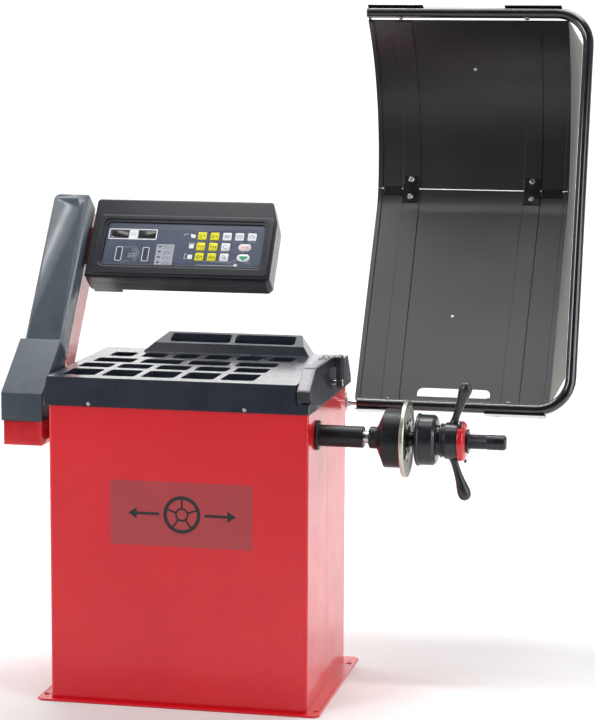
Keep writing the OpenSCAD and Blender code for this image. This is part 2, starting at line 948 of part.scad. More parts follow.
module arm_cover() {
    t = cover_t;
    x1 = -arm_x;
    x0 = x1 - arm_w;
    xw = x0 - wide_extra;
    flank = [[foot_y, foot_low], [foot_y, knee_z], hip,
        [hip[0] + 40, hip[1] - 30], [-22, 790], [-85, foot_low]];
    color(BLACK) {
        // lower wide part: front, slope and two flanks
        yz_prism(xw, x1, [[foot_y, foot_low], [foot_y, knee_z], hip,
            [hip[0] + t, hip[1] - t - 1], [foot_y + t, knee_z - t / 2],
            [foot_y + t, foot_low]]);
        yz_prism(xw, xw + t, flank);
        yz_prism(x1 - t, x1, flank);
        // upper narrow part: a channel with a closed top
        difference() {
            arm_place()
                difference() {
                    union() {
                        xz_prism(0, cover_deep, arm_outline(x0, x1, 0));
                        // raised field on the front
                        xz_prism(-2, 2, [[x0 + 6, 24], [x1 - 5, 24],
                            [x1 - 17, arm_len - 52], [x1 - 22, arm_len - 40],
                            [x1 - 30, arm_len - 12], [x0 + 15, arm_len - 12],
                            [x0 + 6, arm_len - 22]]);
                    }
                    xz_prism(t, cover_deep + 9, arm_outline(x0, x1, t));
                    // bevels along the two front edges
                    for (x = [x0, x1])
                        translate([x, 0, -1])
                            rotate([0, 0, 45])
                                cube([4, 4, 2 * arm_len + 4], center = true);
                }
            yz_prism(xw - 1, x1 + 1, [[foot_y, foot_low - 100],
                [foot_y, knee_z], hip, [hip[0] + 40, hip[1] - 30], [-22, 790],
                [-22, foot_low - 100]]);
        }
    }
}

// ---------------------------------------------------------------- console

con_x = -333;
con_y = 100;
con_z = 1006;
split_w = 30;
con_wall = 3;
ov_x = 39;
ov_y = 39;
ov_w = 414;
ov_h = 123;
ov_sink = 5;
frame_x = 15;
frame_y = 11;
frame_h = 3;
ov_t = 1.5;
board_w = 14;

// Lower left corner of the console's face; y runs up the face, z out of it
module console_place() {
    translate([con_x, con_y, con_z])
        rotate([90 - con_tilt, 0, 0])
            children();
}

// Outline of the console, with its clipped top right corner
module console_outline(inset) {
    i = inset;
    polygon([[i, 6], [6, i], [con_w - 10, i], [con_w - i, 10],
        [con_w - i, con_h - 62], [con_w - 17 - i / 2, con_h - 3],
        [con_w - 22, con_h - i], [6, con_h - i], [i, con_h - 6]]);
}

module console_front() {
    color(BLACK)
        console_place()
            difference() {
                union() {
                    translate([0, 0, -split_w])
                        linear_extrude(split_w - 6)
                            console_outline(0);
                    translate([0, 0, -6.01])
                        linear_extrude(6.01)
                            console_outline(5);
                    // raised frame round the overlay
                    translate([frame_x, frame_y, -3])
                        round_block([ov_x + ov_w + 20 - frame_x,
                            ov_y + ov_h + 19 - frame_y, 3 + frame_h], 12);
                }
                translate([ov_x - 8, ov_y - 8, 0])
                    round_block([ov_w + 16, ov_h + 16, 20], 16);
                // hollow behind the face
                translate([0, 0, -split_w - 1])
                    linear_extrude(split_w - 10)
                        console_outline(con_wall);
                // sunken field of the overlay, and the window behind it
                translate([ov_x, ov_y, -ov_sink])
                    round_block([ov_w, ov_h, 20], 10);
                translate([ov_x + 6, ov_y + 6, -40])
                    round_block([ov_w - 12, ov_h - 12, 60], 6);
            }
}

module console_back() {
    color(BLACK)
        console_place()
            difference() {
                union() {
                    translate([0, 0, -con_t])
                        linear_extrude(con_t - split_w - gap)
                            console_outline(0);
                    // hump that takes the arm's plate
                    translate([8, 4, -con_t - 20])
                        cube([75, 80, 21]);
                }
                translate([0, 0, -con_t + con_wall])
                    linear_extrude(con_t)
                        console_outline(con_wall);
                // mouth for the arm's plate
                translate([-1, 58, -con_t + 12])
                    cube([20, 118, 12]);
            }
}

display_a = [14.5, 85.8];
display_w = 43.8;
display_h = 21;
display_low = 44;
row_v = [35, 65.3, 95.5];
col_a = [for (k = [0 : 4]) 252.5 + 32.3 * k];
oval_a = 366.7;
oval_w = 33;
oval_h = 20.5;
key_gap = 0.4;
key_out = 1.2;
key_deep = 5;

// A place on the overlay: a from its left edge, v down from its top edge
module overlay_place(a, v) {
    console_place()
        translate([ov_x + a, ov_y + ov_h - v, -ov_sink + ov_t])
            children();
}

module square_key_shape(grow) {
    translate([-key_w / 2 - grow, -key_h / 2 - grow])
        round_rect(key_w + 2 * grow, key_h + 2 * grow, 2);
}

module oval_key_shape(grow) {
    r = oval_h / 2 + grow;
    half = (oval_w - oval_h) / 2;
    for (side = [-1, 1])
        translate([side * half, 0])
            circle(r = r);
    square([2 * half, 2 * r], center = true);
}

// The grid of square keys: every column in row 0, three in rows 1 and 2
square_cells = [for (r = [0 : 2], c = [0 : 4]) if (r == 0 || c < 3) [c, r]];

module overlay_panel() {
    color("#5b6578")
        difference() {
            overlay_place(1, ov_h - 1)
                translate([0, 0, -ov_t])
                    round_block([ov_w - 2, ov_h - 2, ov_t], 9);
            for (cell = square_cells)
                overlay_place(col_a[cell[0]], row_v[cell[1]])
                    translate([0, 0, -4])
                        linear_extrude(8)
                            square_key_shape(key_gap);
            for (r = [1, 2])
                overlay_place(oval_a, row_v[r])
                    translate([0, 0, -4])
                        linear_extrude(8)
                            oval_key_shape(key_gap);
            for (a = display_a)
                overlay_place(a, display_low)
                    translate([0, 0, -4])
                        cube([display_w, display_h, 8]);
        }
}

module display_windows() {
    color("#101113")
        for (a = display_a)
            overlay_place(a + 0.2, display_low - 0.2)
                translate([0, 0, -3])
                    cube([display_w - 0.4, display_h - 0.4, 2.6]);
}

module control_board() {
    color("#1d5a34")
        console_place()
            translate([ov_x + 8, ov_y + 8, -split_w + 2])
                cube([ov_w - 16, ov_h - 16, 2]);
    color("#d8d8d8")
        for (cell = square_cells)
            overlay_place(col_a[cell[0]], row_v[cell[1]])
                translate([-4, -4, -split_w + ov_sink - ov_t + 4])
                    cube([8, 8, split_w - 4 - ov_sink + ov_t - key_deep - 1.2]);
    color("#202020")
        for (a = display_a)
            overlay_place(a + 1, display_low - 1)
                translate([0, 0, -split_w + ov_sink - ov_t + 4])
                    cube([display_w - 2, display_h - 2,
                        split_w - 4 - ov_sink + ov_t - 3.2]);
}

module square_key(c, r, tint) {
    color(tint)
        overlay_place(col_a[c], row_v[r])
            translate([0, 0, -key_deep])
                linear_extrude(key_deep + key_out)
                    square_key_shape(0);
}

module oval_key(r, tint) {
    color(tint)
        overlay_place(oval_a, row_v[r])
            translate([0, 0, -key_deep])
                linear_extrude(key_deep + key_out)
                    oval_key_shape(0);
}

YELLOW = "#f2e500";
WHITE = "#eceef0";
module distance_down_key() { square_key(0, 0, YELLOW); }
module distance_up_key() { square_key(1, 0, YELLOW); }
module alloy_mode_key() { square_key(2, 0, WHITE); }
module fine_reading_key() { square_key(3, 0, WHITE); }
module unbalance_key() { square_key(4, 0, WHITE); }
module width_down_key() { square_key(0, 1, YELLOW); }
module width_up_key() { square_key(1, 1, YELLOW); }
module calibrate_key() { square_key(2, 1, WHITE); }
module diameter_down_key() { square_key(0, 2, YELLOW); }
module diameter_up_key() { square_key(1, 2, YELLOW); }
module units_key() { square_key(2, 2, WHITE); }
module stop_key() { oval_key(1, WHITE); }
module start_key() { oval_key(2, WHITE); }

// ------------------------------------------------------------------- hood

pivot_y = 262;
pivot_z = 680;
tube_r = tube_d / 2;
tube_wall = 2;
lower_x0 = 345;
upper_x0 = 300;
pin_r = 6;
pin_x1 = 402;

// Lower bar's axis; z runs along the hood, y runs to its back
module hood_place() {
    translate([0, pivot_y, pivot_z])
        rotate([-hood_lean, 0, 0])
            children();
}

module hood_path(r) {
    b = hood_bend;
    translate([lower_x0, 0, 0])
        rotate([0, 90, 0])
            cylinder(h = hood_right - b - lower_x0, r = r);
    translate([upper_x0, 0, hood_len])
        rotate([0, 90, 0])
            cylinder(h = hood_right - b - upper_x0, r = r);
    translate([hood_right, 0, b])
        cylinder(h = hood_len - 2 * b, r = r);
    for (end = [0, 1])
        translate([hood_right - b, 0, end ? hood_len - b : b])
            rotate([90, 0, 0])
                rotate([0, 0, end ? 0 : -90])
                    rotate_extrude(angle = 90, $fn = 96)
                        translate([b, 0])
                            circle(r = r);
}

module hood_frame() {
    color(BLACK)
        hood_place()
            difference() {
                hood_path(tube_r);
                difference() {
                    hood_path(tube_r - tube_wall);
                    // plugs in the two open ends
                    translate([0, 0, 0])
                        rotate([0, 90, 0])
                            cylinder(h = pin_x1 + 10, r = tube_r);
                    translate([0, 0, hood_len])
                        rotate([0, 90, 0])
                            cylinder(h = upper_x0 + 6, r = tube_r);
                }
                translate([lower_x0 - 1, 0, 0])
                    rotate([0, 90, 0])
                        cylinder(h = pin_x1 - lower_x0 + 3,
                            r = pin_r + run_gap);
            }
}

// Side profile of the shells: a straight lower run leaning back, a round
// knee, and a round upper run that comes forward over the wheel
shell_low = [14, 16];
knee_s = 640;
knee_n = 255;
knee_r = 190;
top_r = 432;
top_angle = 64.6;
lower_slope = atan((knee_n - shell_low[1]) / (knee_s - shell_low[0])) + 1.2;
steps = 14;

// Points [back, along] of the lower and upper runs, at a depth d behind the
// sheet's inner face, with the free end drawn out by a length e
function lower_run(d, e) = concat(
    [[shell_low[1] + d * cos(lower_slope) - e * sin(lower_slope),
        shell_low[0] - d * sin(lower_slope) - e * cos(lower_slope)]],
    [for (k = [steps / 2 : -1 : 0]) let (a = lower_slope * 2 * k / steps)
        [knee_n - knee_r * (1 - cos(a)) + d * cos(a),
            knee_s - knee_r * sin(a) - d * sin(a)]]);
function upper_run(d, e) = concat(
    [for (k = [0 : steps]) let (a = top_angle * k / steps)
        [knee_n - top_r * (1 - cos(a)) + d * cos(a),
            knee_s + top_r * sin(a) + d * sin(a)]],
    e == 0 ? [] : [[knee_n - top_r * (1 - cos(top_angle))
        + d * cos(top_angle) - e * sin(top_angle),
        knee_s + top_r * sin(top_angle) + d * sin(top_angle)
        + e * cos(top_angle)]]);
function reversed(list) = [for (k = [len(list) - 1 : -1 : 0]) list[k]];

shell_right = 832;
shell_left_low = 336;
shell_left_high = 302;
rim_w = 12;
band_w = 46;
band_h = 4;
band_right = 734;
band_left_low = 427;
band_left_high = 393;
slot_x0 = 494;
slot_x1 = 681;
slot_s0 = 28;
slot_s1 = 52;
slot_r = 14;

// Slanted outline of a strip in the hood's width and length
module hood_strip(low0, high0, low1, high1, s0, s1) {
    function at(low, high, s) = low + (high - low) * s / hood_len;
    translate([0, 400, 0])
        rotate([90, 0, 0])
            linear_extrude(500)
                polygon([[at(low0, high0, s0), s0], [at(low1, high1, s0), s0],
                    [at(low1, high1, s1), s1], [at(low0, high0, s1), s1]]);
}

// One run of the shell, between depths d0 and d1 behind its inner face
module shell_run(upper, d0, d1, e = 0) {
    inner = upper ? upper_run(d0, e) : lower_run(d0, e);
    outer = upper ? upper_run(d1, e) : lower_run(d1, e);
    yz_prism(250, 900, concat(inner, reversed(outer)));
}

flange_w = 22;

module hood_shell(upper) {
    s0 = upper ? knee_s + 1.2 : -10;
    s1 = upper ? hood_len : knee_s - 1.2;
    half = band_w / 2;
    t = shell_t;
    // fields between the raised rims and bands, as pairs of slanted edges
    fields = [[shell_left_low + rim_w, shell_left_high + rim_w,
        band_left_low - half, band_left_high - half],
        [band_left_low + half, band_left_high + half, band_right - half,
            band_right - half],
        [band_right + half, band_right + half, shell_right - rim_w,
            shell_right - rim_w]];
    difference() {
        intersection() {
            shell_run(upper, -band_h, flange_w);
            hood_strip(shell_left_low, shell_left_high, shell_right,
                shell_right, s0, s1);
        }
        // space behind the sheet, between its turned edges
        intersection() {
            shell_run(upper, t, flange_w + 9, 20);
            hood_strip(shell_left_low + t, shell_left_high + t,
                shell_right - t, shell_right - t, s0 - 60, s1 + 60);
        }
        for (f = fields)
            intersection() {
                shell_run(upper, -band_h - 9, 0, 20);
                hood_strip(f[0], f[1], f[2], f[3], s0 - 60, s1 + 60);
            }
    }
}

module hood_shell_upper() {
    color(BLACK)
        hood_place()
            hood_shell(true);
}

module hood_shell_lower() {
    color(BLACK)
        hood_place()
            difference() {
                hood_shell(false);
                xz_prism(-50, 100, [[slot_x0, slot_s0], [slot_x1, slot_s0],
                    for (k = [0 : 6])
                        [slot_x1 - slot_r + slot_r * cos(15 * k),
                            slot_s1 - slot_r + slot_r * sin(15 * k)],
                    for (k = [0 : 6])
                        [slot_x0 + slot_r - slot_r * sin(15 * k),
                            slot_s1 - slot_r + slot_r * cos(15 * k)]]);
            }
}

// Side wall from the shells' right edge to the tube, as a ruled sheet
panel_t = 2.4;
module hood_side_panel() {
    low = lower_run(0, 0);
    edge = concat(reversed(upper_run(0, 0)), [for (k = [7 : -1 : 1]) low[k]],
        [for (t = [0.2 : 0.2 : 1]) low[1] * (1 - t) + low[0] * t]);
    n = len(edge);
    scale_s = (hood_len - 2 * hood_bend) / (edge[0][1] - low[0][1]);
    points = [for (p = edge)
        let (s = hood_bend + (p[1] - low[0][1]) * scale_s)
        each [[shell_right + 0.4, p[0] + 1, p[1]],
            [shell_right + 0.4 + panel_t, p[0] + 1, p[1]],
            [hood_right - tube_r - 1, 3, s],
            [hood_right - tube_r - 1 - panel_t, 3, s]]];
    color(WHITE)
        hood_place()
            polyhedron(points, concat([[0, 1, 2], [0, 2, 3]],
                [for (k = [0 : 4 : 4 * n - 8]) each
                    [[k, k + 4, k + 5], [k, k + 5, k + 1],
                    [k + 1, k + 5, k + 6], [k + 1, k + 6, k + 2],
                    [k + 2, k + 6, k + 7], [k + 2, k + 7, k + 3],
                    [k + 3, k + 7, k], [k + 7, k + 4, k]]],
                [[4 * n - 4, 4 * n - 2, 4 * n - 3],
                    [4 * n - 4, 4 * n - 1, 4 * n - 2]]));
}

join_t = 3;
lap_t = 1.5;
clamp_t = 3;
// thin plates on the bars: left end, length, on the upper bar or not
clamps = [[342, 86, 0], [673, 153, 0], [upper_x0 + 1, 148, 1], [664, 150, 1]];

// Middle of a band at a distance s along the hood
function band_x(left, s) = left ? band_left_low
    + (band_left_high - band_left_low) * s / hood_len : band_right;

// Stretch of the side profile across the seam, at a depth d
function knee_run(d) = concat([for (k = [4 : 7]) lower_run(d, 0)[k]],
    [for (k = [0 : 1]) upper_run(d, 0)[k]]);

module hood_plates() {
    color(BLACK)
        hood_place() {
            // joining plates across the seam, on the bands
            for (left = [true, false])
                yz_prism(band_x(left, knee_s) - band_w / 2 + 1,
                    band_x(left, knee_s) + band_w / 2 - 1,
                    concat(knee_run(-band_h - 0.2),
                        reversed(knee_run(-band_h - 0.2 - join_t))));
            // laps over the seam, beside the bands
            for (x = [[331, band_x(true, knee_s) - band_w / 2 - 2],
                [band_right + band_w / 2 + 2, shell_right - rim_w - 4]])
                translate([x[0], knee_n - lap_t - 2.2, knee_s - 18])
                    cube([x[1] - x[0], lap_t, 24]);
            // plates on the outer side of each bar, turned down behind it
            for (c = clamps)
                yz_prism(c[0], c[0] + c[1], [for (p = [[-13, 0], [30, 0],
                    [30, -48], [30 - clamp_t, -48],
                    [30 - clamp_t, -clamp_t], [-13, -clamp_t]])
                    c[2] ? [p[0], hood_len + tube_r + 0.3 + clamp_t
                        + max(p[1], -20)]
                    : [p[0], -tube_r - 0.3 - clamp_t - p[1]]]);
        }
}

module hood_bolts() {
    color(STEEL)
        hood_place() {
            for (left = [true, false], side = [1, 3])
                knee_bolt(band_x(left, knee_s), side);
            // heads that hold the plates, on the inner side of each bar
            for (x = [[390, 1], [724, 1], [421, 0], [732, 0]])
                translate([x[0], 0, x[1] ? hood_len - tube_r - 0.3
                    : tube_r + 0.3])
                    rotate([x[1] ? 180 : 0, 0, 0])
                        screw(7, 0.2);
            for (x = [578, 560], k = [0, 1])
                if (x == (k ? 578 : 560))
                    shell_screw(x, k);
        }
}

// A bolt in a joining plate, on the flat below (1) or above (3) the seam
module knee_bolt(x, k) {
    run = knee_run(-band_h - 0.4 - join_t);
    p = k == 1 ? (run[1] + run[2]) / 2 : run[4] + 0.68 * (run[5] - run[4]);
    d = k == 1 ? run[2] - run[1] : run[5] - run[4];
    translate([x, p[0], p[1]])
        rotate([atan2(d[1], d[0]) - 90, 0, 0])
            rotate([90, 0, 0])
                screw(8, 0.1);
}

// A small screw through a shell, on its lower (0) or upper (1) run
module shell_screw(x, k) {
    a = k ? top_angle * 9.5 / steps : -lower_slope;
    p = k ? (upper_run(0, 0)[9] + upper_run(0, 0)[10]) / 2
        : [shell_low[1] + 245 * tan(lower_slope), shell_low[0] + 245];
    translate([x, p[0], p[1]])
        rotate([a, 0, 0])
            translate([0, -0.1, 0])
                rotate([90, 0, 0])
                    screw(5, 0.05);
}

bearing_x0 = 232;
bearing_x1 = 316;
journal_r = 12;

module hood_bearing() {
    color(RED)
        difference() {
            translate([bearing_x0, cab_y, pivot_z - 24])
                cube([bearing_x1 - bearing_x0, pivot_y - cab_y + 20, 48]);
            x_cyl(bearing_x0 - 1, bearing_x1 + 1, journal_r + run_gap,
                pivot_y, pivot_z);
        }
}

module hood_spindle() {
    color(STEEL)
        turned([[0, bearing_x0 + 4], [journal_r, bearing_x0 + 4],
            [journal_r, bearing_x1 + 4], [9, bearing_x1 + 6],
            [9, bearing_x1 + 12], [pin_r, bearing_x1 + 12],
            [pin_r, pin_x1 - 2], [pin_r - 1.5, pin_x1], [0, pin_x1]],
            pivot_y, pivot_z);
}

// ------------------------------------------------------------------ gauge

rod_x0 = 20;
rod_x1 = 330;
gauge_x0 = 293;
gauge_x1 = 324;
cheek_t = 11;

module gauge_rod() {
    color(STEEL)
        turned([[0, rod_x0], [rod_r, rod_x0], [rod_r, rod_x1 + cheek_t + 0.5],
            [rod_r + 3, rod_x1 + cheek_t + 0.5],
            [rod_r + 3, rod_x1 + cheek_t + 3], [rod_r, rod_x1 + cheek_t + 5],
            [0, rod_x1 + cheek_t + 5]], rod_y, rod_z);
}

module gauge_arm() {
    x1 = rod_x1 + cheek_t;
    color(BLACK)
        difference() {
            union() {
                // bar on the tray's edge, its finger end down in the notch;
                // the tail is cut back so that it clears the tray in a swing
                yz_prism(gauge_x0, gauge_x1, [[-243, 760], [-243, 786],
                    [-172, 831], [rod_y + 11, 828], [rod_y - 13.5, 803.5],
                    [-168, 803.5], [-222, 760]]);
                // cheek that hangs down to the rod, outside the skirt
                translate([gauge_x1 - 1, rod_y - 20, 803.5])
                    cube([x1 - gauge_x1 + 1, 42, 24]);
                yz_prism(rod_x1, x1, [[rod_y - 15, rod_z - 6],
                    [rod_y - 8, rod_z - 13], [rod_y + 8, rod_z - 13],
                    [rod_y + 15, rod_z - 6], [rod_y + 22, 804],
                    [rod_y - 20, 804]]);
            }
            x_cyl(rod_x1 - 1, x1 + 1, rod_r + run_gap, rod_y, rod_z);
        }
}

module gauge_guides() {
    color(DARK_STEEL)
        difference() {
            union() {
                translate([288, rod_y - 18, 700])
                    cube([25, 36, 76]);
                translate([288, rod_y - 18, 700])
                    cube([cab_x - sheet - 288, 36, 30]);
                translate([200, rod_y - 18, 728])
                    cube([20, 36, 48]);
                translate([200, rod_y - 18, 728])
                    cube([100, 36, 6]);
            }
            x_cyl(190, 330, rod_r + run_gap, rod_y, rod_z);
        }
}

base_plate();
front_cover();
rear_cover();
panel_screws();
tray();
inner_frame();
spindle_housing();
spindle_bearings();
piezo_sensors();
main_spindle();
threaded_shaft();
hub();
flange_disc();
flange_screws();
centring_spring();
shaft_pulley();
encoder_disc();
encoder_sensor();
motor();
motor_pulley();
drive_belt();
power_board();
power_inlet();
power_switch();
pressure_cup();
nut_body();
nut_handles();
release_ring();
release_lever();
arm_column();
arm_cover();
console_front();
console_back();
overlay_panel();
display_windows();
control_board();
distance_down_key();
distance_up_key();
width_down_key();
width_up_key();
diameter_down_key();
diameter_up_key();
alloy_mode_key();
fine_reading_key();
unbalance_key();
calibrate_key();
units_key();
stop_key();
start_key();
hood_frame();
hood_shell_upper();
hood_shell_lower();
hood_side_panel();
hood_plates();
hood_bolts();
hood_spindle();
hood_bearing();
gauge_rod();
gauge_arm();
gauge_guides();
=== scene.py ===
"""Looks of the wheel balancer: finishes, overlay print, ruler, label, light, camera."""
import math

import bmesh
import bpy
from mathutils import Matrix, Vector


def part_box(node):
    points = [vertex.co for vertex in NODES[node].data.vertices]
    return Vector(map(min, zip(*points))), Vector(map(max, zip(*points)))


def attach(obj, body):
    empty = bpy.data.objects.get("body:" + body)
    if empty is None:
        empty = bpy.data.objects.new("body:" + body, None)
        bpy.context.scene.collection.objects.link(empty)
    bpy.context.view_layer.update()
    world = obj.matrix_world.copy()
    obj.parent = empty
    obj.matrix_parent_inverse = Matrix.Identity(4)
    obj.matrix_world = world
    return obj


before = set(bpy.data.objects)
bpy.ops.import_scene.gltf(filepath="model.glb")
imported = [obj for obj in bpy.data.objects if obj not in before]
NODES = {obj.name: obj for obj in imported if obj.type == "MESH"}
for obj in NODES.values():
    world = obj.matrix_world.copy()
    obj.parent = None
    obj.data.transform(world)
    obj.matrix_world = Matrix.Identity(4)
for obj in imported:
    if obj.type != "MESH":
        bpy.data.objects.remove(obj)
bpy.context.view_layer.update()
MM = 0.001


# ------------------------------------------------------------ materials

def socket(node, name, value):
    node.inputs[name].default_value = value


class Finish:
    """A Principled material whose colour, roughness and bump vary over the piece."""

    def __init__(self, name, colour, rough, metal=0.0, coat=0.0, coat_rough=0.08,
                 specular=0.5, tint=0.12, patch=9.0, rough_spread=0.08, edge=0.0,
                 round_by=0.0, grain=(), smear=0.0, coat_ior=1.5):
        self.mat = bpy.data.materials.new(name)
        self.mat.use_nodes = True
        self.nt = self.mat.node_tree
        self.bsdf = self.nt.nodes["Principled BSDF"]
        self.coord = self.nt.nodes.new("ShaderNodeTexCoord").outputs["Object"]
        socket(self.bsdf, "Metallic", metal)
        socket(self.bsdf, "Coat Weight", coat)
        socket(self.bsdf, "Coat Roughness", coat_rough)
        socket(self.bsdf, "Coat IOR", coat_ior)
        socket(self.bsdf, "Specular IOR Level", specular)
        mottle = self.noise(patch, 4.0)
        dark = [c * (1 - tint) for c in colour]
        light = [min(1.0, c * (1 + tint) + 0.004) for c in colour]
        tone = self.ramp(mottle, [(0.3, dark), (0.7, light)])
        # painted highlight: sharp edges made a little lighter, in patches
        if edge:
            tone = self.painted_edge_highlight(tone, colour, edge)
        self.tone = tone
        self.link(tone, self.bsdf.inputs["Base Color"])
        fine = self.noise(patch * 3.1, 5.0, stretch=(1, 1, 1 + smear))
        self.link(self.map(fine, rough - rough_spread, rough + rough_spread),
                  self.bsdf.inputs["Roughness"])
        height = None
        for scale, depth in grain:
            height = self.bump(self.noise(scale, 3.0), depth, height)
        if round_by:
            bevel = self.nt.nodes.new("ShaderNodeBevel")
            bevel.samples = 4
            socket(bevel, "Radius", round_by)
            height = self.join_normal(bevel.outputs["Normal"], height)
        if height:
            self.link(height, self.bsdf.inputs["Normal"])

    def link(self, a, b):
        self.nt.links.new(a, b)

    def join_normal(self, normal, bump_normal):
        """The rounded edge under the bump, where there is a bump."""
        if not bump_normal:
            return normal
        node = bump_normal.node
        while node.inputs["Normal"].is_linked:
            node = node.inputs["Normal"].links[0].from_node
        self.link(normal, node.inputs["Normal"])
        return bump_normal

    def noise(self, scale, detail=3.0, stretch=None):
        node = self.nt.nodes.new("ShaderNodeTexNoise")
        socket(node, "Scale", scale)
        socket(node, "Detail", detail)
        source = self.coord
        if stretch:
            mapping = self.nt.nodes.new("ShaderNodeMapping")
            socket(mapping, "Scale", stretch)
            self.link(source, mapping.inputs["Vector"])
            source = mapping.outputs["Vector"]
        self.link(source, node.inputs["Vector"])
        return node.outputs["Fac"]

    def map(self, value, low, high):
        node = self.nt.nodes.new("ShaderNodeMapRange")
        socket(node, "From Min", 0.3)
        socket(node, "From Max", 0.7)
        socket(node, "To Min", max(low, 0.02))
        socket(node, "To Max", high)
        self.link(value, node.inputs["Value"])
        return node.outputs["Result"]

    def ramp(self, value, stops):
        node = self.nt.nodes.new("ShaderNodeValToRGB")
        while len(node.color_ramp.elements) < len(stops):
            node.color_ramp.elements.new(0.5)
        for element, (place, colour) in zip(node.color_ramp.elements, stops):
            element.position = place
            element.color = (*colour, 1.0)
        self.link(value, node.inputs["Fac"])
        return node.outputs["Color"]

    def mix(self, factor, a, b):
        node = self.nt.nodes.new("ShaderNodeMix")
        node.data_type = "RGBA"
        for name, value in (("A", a), ("B", b)):
            target = [s for s in node.inputs if s.name == name and s.type == "RGBA"][0]
            if isinstance(value, bpy.types.NodeSocket):
                self.link(value, target)
            else:
                target.default_value = (*value, 1.0)
        self.link(factor, node.inputs["Factor"])
        return [s for s in node.outputs if s.type == "RGBA"][0]

    def bump(self, value, depth, before=None):
        node = self.nt.nodes.new("ShaderNodeBump")
        socket(node, "Strength", 0.5)
        socket(node, "Distance", depth)
        self.link(value, node.inputs["Height"])
        if before:
            self.link(before, node.inputs["Normal"])
        return node.outputs["Normal"]

    def painted_edge_highlight(self, tone, colour, amount):
        """Painted edge highlight: sharp edges a little lighter, in patches."""
        sharp = self.nt.nodes.new("ShaderNodeNewGeometry").outputs["Pointiness"]
        edge_highlight_mask = self.nt.nodes.new("ShaderNodeMapRange")
        socket(edge_highlight_mask, "From Min", 0.53)
        socket(edge_highlight_mask, "From Max", 0.62)
        self.link(sharp, edge_highlight_mask.inputs["Value"])
        patchy = self.nt.nodes.new("ShaderNodeMath")
        patchy.operation = "MULTIPLY"
        self.link(edge_highlight_mask.outputs["Result"], patchy.inputs[0])
        self.link(self.map(self.noise(40.0), 0.0, amount), patchy.inputs[1])
        # the painted highlight colour put on the sharp edges
        pale = [min(1.0, c * 1.6 + 0.10) for c in colour]
        return self.mix(patchy.outputs["Value"], tone, pale)

    def darker_towards_x(self, colour):
        """Another colour on the faces that look along the object's +X."""
        tex = self.nt.nodes.new("ShaderNodeTexCoord")
        split = self.nt.nodes.new("ShaderNodeSeparateXYZ")
        self.link(tex.outputs["Normal"], split.inputs["Vector"])
        step = self.nt.nodes.new("ShaderNodeMapRange")
        socket(step, "From Min", 0.75)
        socket(step, "From Max", 0.95)
        self.link(split.outputs["X"], step.inputs["Value"])
        self.tone = self.mix(step.outputs["Result"], self.tone, colour)
        self.link(self.tone, self.bsdf.inputs["Base Color"])
        return self

    def rings(self, axis_point, scale, depth):
        """Turning marks round a line along X through a point (y, z)."""
        mapping = self.nt.nodes.new("ShaderNodeMapping")
        socket(mapping, "Location", (0, -axis_point[0], -axis_point[1]))
        self.link(self.coord, mapping.inputs["Vector"])
        wave = self.nt.nodes.new("ShaderNodeTexWave")
        wave.wave_type = "RINGS"
        wave.rings_direction = "X"
        socket(wave, "Scale", scale)
        socket(wave, "Distortion", 0.6)
        self.link(mapping.outputs["Vector"], wave.inputs["Vector"])
        self.link(self.bump(wave.outputs["Fac"], depth), self.bsdf.inputs["Normal"])
        return self


SPIN = (-0.137, 0.665)  # the spindle's axis, as Y and Z
red = Finish("red_powder_coat", (0.68, 0.003, 0.012), 0.32, coat=0.7, coat_rough=0.05,
             specular=0.2, tint=0.05, patch=3.0, rough_spread=0.04, edge=0.12,
             grain=((260, 0.00010),))
red_column = Finish("red_column_coat", (0.58, 0.006, 0.014), 0.32, coat=0.8,
                    coat_rough=0.1, tint=0.06, patch=4.0, edge=0.15,
                    grain=((300, 0.00010),))
tray_abs = Finish("tray_grained_plastic", (0.013, 0.018, 0.032), 0.30, coat=1.0,
                  coat_rough=0.14, coat_ior=1.75, tint=0.12, patch=6.0,
                  rough_spread=0.05, edge=0.10, round_by=0.004,
                  grain=((900, 0.00006),))
console_abs = Finish("console_satin_plastic", (0.008, 0.009, 0.014), 0.30, coat=0.45,
                     coat_rough=0.18, tint=0.08, patch=7.0, rough_spread=0.02,
                     edge=0.12, round_by=0.004, grain=((1100, 0.00005),))
arm_abs = Finish("arm_cover_plastic", (0.025, 0.041, 0.059), 0.42, coat=0.3,
                 coat_rough=0.25, tint=0.08, patch=6.0, edge=0.12, round_by=0.004,
                 grain=((1000, 0.00008),))
hood_sheet = Finish("hood_thermoformed_sheet", (0.008, 0.008, 0.011), 0.38, coat=0.2,
                    coat_rough=0.2, tint=0.10, patch=3.0, rough_spread=0.03,
                    edge=0.08, round_by=0.002, grain=((700, 0.00010),))
side_grey = Finish("hood_side_panel_plastic", (0.34, 0.335, 0.315), 0.45, tint=0.05,
                   patch=4.0, edge=0.05, grain=((600, 0.00008),))
black_coat = Finish("black_powder_coat", (0.006, 0.006, 0.008), 0.22, coat=1.0,
                    coat_rough=0.06, tint=0.15, patch=12.0, edge=0.10,
                    grain=((700, 0.00004),))
cast_black = Finish("black_oxide_turned", (0.010, 0.011, 0.012), 0.36, metal=0.3,
                    tint=0.12, patch=30.0, edge=0.15).rings(SPIN, 420, 0.00003)
nut_black = Finish("nut_black_anodised", (0.010, 0.012, 0.016), 0.34, metal=0.2,
                   coat=0.3, tint=0.12, patch=26.0, edge=0.15,
                   grain=((500, 0.00005),))
handle_black = Finish("handle_moulded_black", (0.014, 0.017, 0.022), 0.34, coat=0.3,
                      tint=0.12, patch=40.0, edge=0.1, grain=((800, 0.00006),))
disc_steel = Finish("turned_disc_steel", (0.60, 0.58, 0.50), 0.30, metal=0.85,
                    tint=0.05, patch=12.0).darker_towards_x(
                        (0.045, 0.044, 0.036)).rings(SPIN, 500, 0.00002)
shaft_steel = Finish("oiled_dark_steel", (0.045, 0.047, 0.052), 0.30, metal=0.8,
                     tint=0.12, patch=20.0, grain=((600, 0.00004),))
